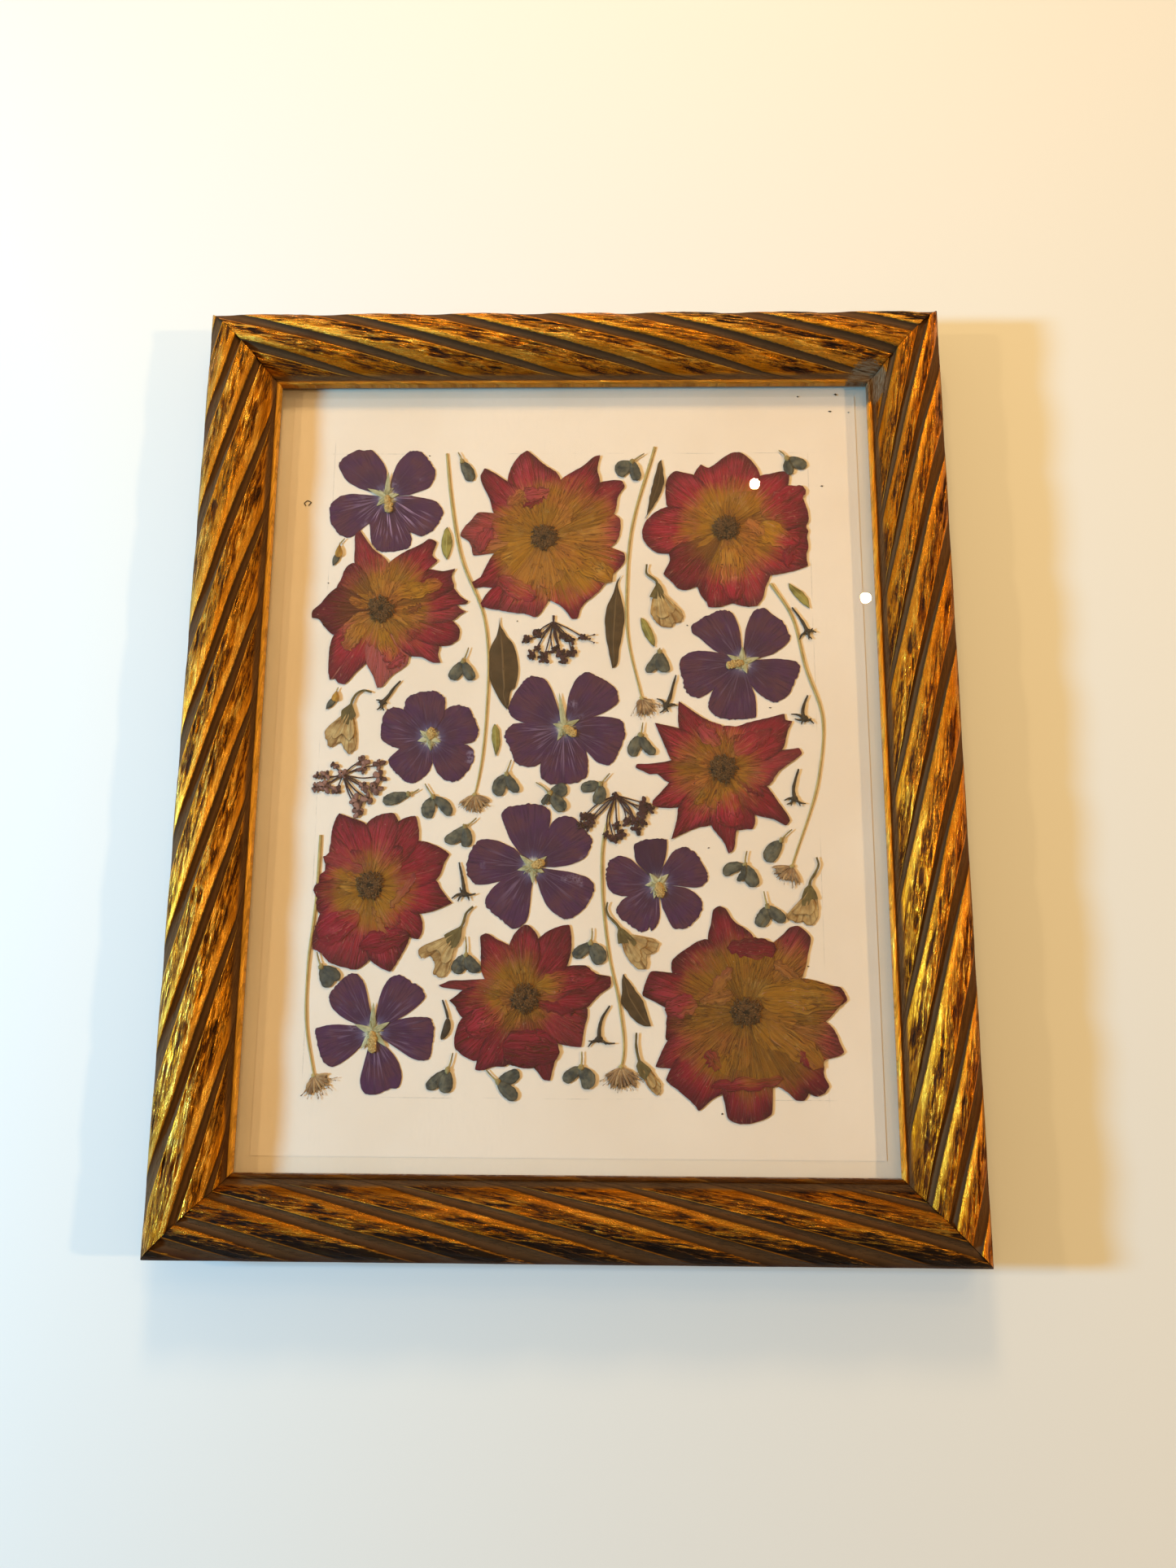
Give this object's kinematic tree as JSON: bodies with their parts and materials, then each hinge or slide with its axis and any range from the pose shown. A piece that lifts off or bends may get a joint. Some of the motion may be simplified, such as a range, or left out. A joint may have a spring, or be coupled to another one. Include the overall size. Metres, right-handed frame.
{
  "type": "pressed flower frame",
  "caption": "Rectangular frame of carved, gilded moulding with a glass pane over pressed roses, mallow-like flowers, leaves, stems and florets laid out on cream paper.",
  "frame": {"origin": "centre of the overall box's base: the frame lies on its back, and its back plane is z = 0", "axes": "+Z out of the glazed face, +Y towards the top edge as it would hang, +X to the right as seen from the front"},
  "size_m": [0.335, 0.413, 0.03],
  "materials": {
    "gilt_wood": "carved, rubbed gilding over red-brown bole, with matte brown flutes",
    "clear_glass": "plain polished",
    "cream_paper": "matte, slightly foxed",
    "brown_board": "matte fibre board",
    "steel": "dull",
    "brass": "brass-plated, dull",
    "rose_petal": "dry petal, ochre at the centre and crimson to maroon at the edge",
    "purple_petal": "dry petal, dark purple with finer veins",
    "dry_leaf": "dry leaf",
    "dry_stem": "dry straw",
    "dark_floret": "dry, dark",
    "cream_petal": "dry, thin petal"
  },
  "bodies": {
    "root": {"rail_top": "gilt_wood", "rail_right": "gilt_wood", "rail_bottom": "gilt_wood", "rail_left": "gilt_wood", "glass_pane": "clear_glass", "flower_sheet": "cream_paper", "backing_sheet": "cream_paper", "backing_board": "brown_board", "hanger": "brass", "nail_left": "steel", "nail_right": "steel", "point_top": "steel", "point_right_upper": "steel", "point_right_lower": "steel", "point_bottom": "steel", "point_left_lower": "steel", "point_left_upper": "steel", "rose_left_upper": "rose_petal", "rose_top_middle": "rose_petal", "rose_top_right": "rose_petal", "rose_right_middle": "rose_petal", "rose_left_lower": "rose_petal", "rose_bottom_middle": "rose_petal", "rose_bottom_right": "rose_petal", "mallow_top_left": "purple_petal", "mallow_right_upper": "purple_petal", "mallow_middle_left": "purple_petal", "mallow_middle": "purple_petal", "mallow_lower_middle": "purple_petal", "mallow_lower_right": "purple_petal", "mallow_bottom_left": "purple_petal", "daisy_left_middle": "dry_stem", "daisy_right_middle": "dry_stem", "daisy_far_right": "dry_stem", "daisy_far_left": "dry_stem", "daisy_lower_middle": "dry_stem", "leaf_broad": "dry_leaf", "leaf_long": "dry_leaf", "leaf_top": "dry_leaf", "leaf_lower_right": "dry_leaf", "leaf_small_left": "dry_leaf", "leaf_small_middle": "dry_leaf", "leaf_small_right": "dry_leaf", "leaf_far_right": "dry_leaf", "umbel_upper": "dark_floret", "umbel_left": "dark_floret", "umbel_lower": "dark_floret", "trumpet_upper_right": "cream_petal", "trumpet_left": "cream_petal", "trumpet_lower_left": "cream_petal", "trumpet_lower_middle": "cream_petal", "trumpet_far_right": "cream_petal", "trumpet_bottom": "cream_petal"}
  },
  "joints": []
}
